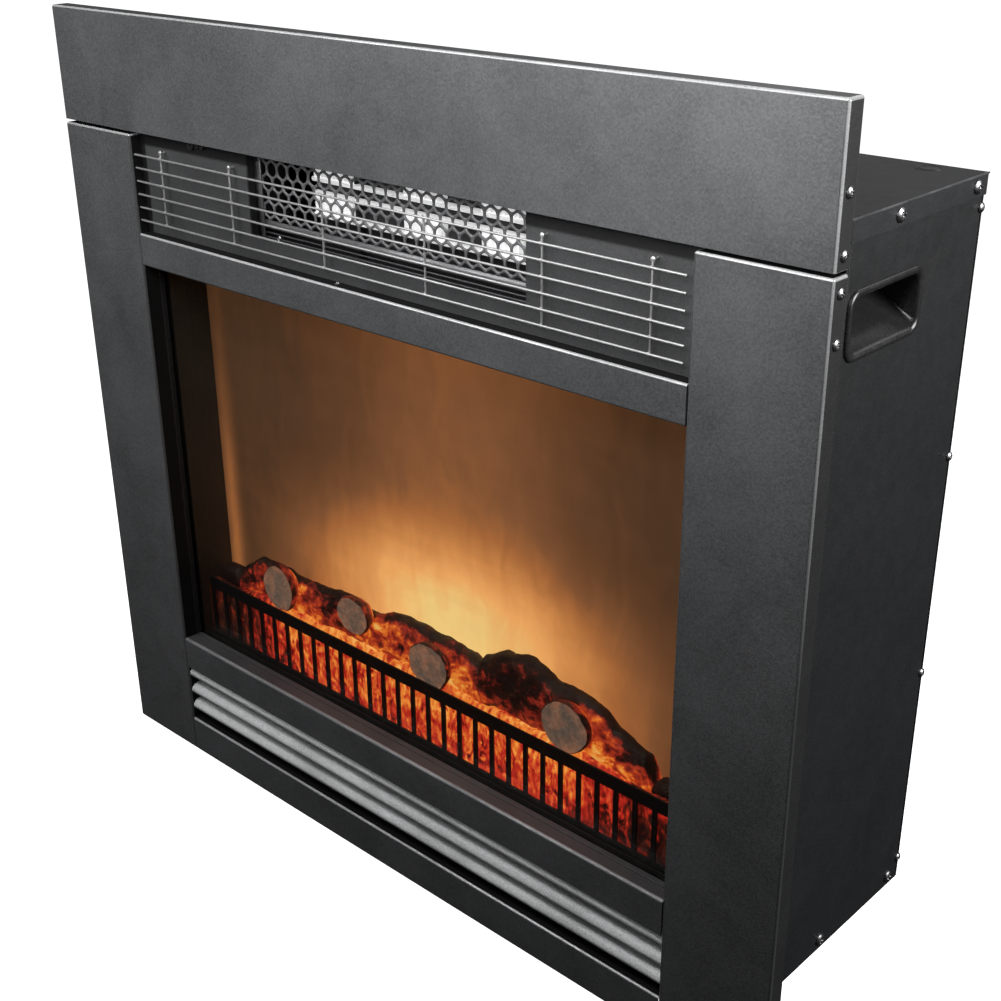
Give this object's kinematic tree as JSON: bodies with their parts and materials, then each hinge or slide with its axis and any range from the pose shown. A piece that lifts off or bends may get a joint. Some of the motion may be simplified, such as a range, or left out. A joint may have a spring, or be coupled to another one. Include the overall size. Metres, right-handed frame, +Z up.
{
  "type": "electric fireplace insert",
  "caption": "Built-in electric fireplace: black steel case with fan heater, grille, tinted window over a log flame effect, and a wide charcoal surround with rounded louvre slats.",
  "frame": {"origin": "middle of the case's flat underside, the face the insert rests on", "axes": "+X along the width to the right as seen from the front, +Y from the front surround to the rear panel, +Z up"},
  "size_m": [0.6694, 0.1552, 0.612],
  "materials": {
    "trim_powder_coat": "fine textured charcoal powder coat with worn bright edges",
    "case_black": "satin black paint",
    "slat_grey": "mid-grey metallic paint",
    "grille_wire": "dark glossy wire",
    "black_steel": "matt black sheet steel",
    "gasket_black": "matt black gasket",
    "tinted_glass": "smoke-tinted tempered glass",
    "handle_black": "moulded gloss black",
    "button_black": "gloss black caps",
    "flame_plastic": "translucent amber screen, lit from behind",
    "ember_resin": "translucent moulded embers, lit from below",
    "log_resin": "painted moulded logs with glowing cracks",
    "screw_nickel": "nickel plated",
    "bright_sheet": "plain bright sheet",
    "fin_aluminium": "bright corrugated fins",
    "motor_steel": "laminated motor steel",
    "inner_plastic": "natural white plastic",
    "board_green": "circuit board",
    "lamp_clear": "clear lamp glass"
  },
  "bodies": {
    "case": {"top_panel": "trim_powder_coat", "left_column": "trim_powder_coat", "right_column": "trim_powder_coat", "header_bar": "trim_powder_coat", "window_sill": "trim_powder_coat", "bottom_panel": "trim_powder_coat", "louvre_slat_1": "slat_grey", "louvre_slat_2": "slat_grey", "louvre_slat_3": "slat_grey", "lower_back_plate": "black_steel", "vent_face_plate": "trim_powder_coat", "wire_grille": "grille_wire", "heater_duct": "black_steel", "outlet_mesh": "black_steel", "heating_element": "fin_aluminium", "thermal_cutout": "inner_plastic", "blower_housing": "bright_sheet", "blower_motor": "motor_steel", "control_board": "board_green", "front_frame": "black_steel", "right_side_panel": "case_black", "left_side_panel": "case_black", "right_handle": "handle_black", "left_handle": "handle_black", "top_lid": "case_black", "base_tray": "case_black", "rear_panel": "case_black", "cord_gland": "handle_black", "glass_pane": "tinted_glass", "glass_gasket": "gasket_black", "right_glass_clip": "black_steel", "left_glass_clip": "black_steel", "right_firebox_wall": "black_steel", "left_firebox_wall": "black_steel", "firebox_ceiling": "black_steel", "hearth_floor": "black_steel", "flame_screen": "flame_plastic", "ember_bed": "ember_resin", "log_set": "log_resin", "fuel_grate": "black_steel", "flicker_bearing": "inner_plastic", "flicker_motor": "motor_steel", "lamp_bracket": "bright_sheet", "right_lamp": "lamp_clear", "left_lamp": "lamp_clear", "heat_shield": "bright_sheet", "lid_screw_right_1": "screw_nickel", "base_screw_right_1": "screw_nickel", "lid_screw_right_2": "screw_nickel", "base_screw_right_2": "screw_nickel", "lid_screw_left_1": "screw_nickel", "base_screw_left_1": "screw_nickel", "lid_screw_left_2": "screw_nickel", "base_screw_left_2": "screw_nickel"},
    "power_button": {"power_button": "button_black"},
    "flame_button": {"flame_button": "button_black"},
    "heat_button": {"heat_button": "button_black"},
    "flicker_rod": {"flicker_rod": "fin_aluminium"},
    "blower_wheel": {"blower_wheel": "black_steel"}
  },
  "joints": [
    {"name": "power_button_press", "type": "slide", "parent": "case", "child": "power_button", "axis": [0, 1, 0], "range_m": [0, 0.001], "stiffness_N_per_m": 1500},
    {"name": "flame_button_press", "type": "slide", "parent": "case", "child": "flame_button", "axis": [0, 1, 0], "range_m": [0, 0.001], "stiffness_N_per_m": 1500},
    {"name": "heat_button_press", "type": "slide", "parent": "case", "child": "heat_button", "axis": [0, 1, 0], "range_m": [0, 0.001], "stiffness_N_per_m": 1500},
    {"name": "flicker_spin", "type": "hinge", "parent": "case", "child": "flicker_rod", "pos_m": [0, 0.003, 0.0655], "axis": [1, 0, 0], "continuous": true},
    {"name": "blower_spin", "type": "hinge", "parent": "case", "child": "blower_wheel", "pos_m": [0, 0.007, 0.4205], "axis": [1, 0, 0], "continuous": true}
  ]
}
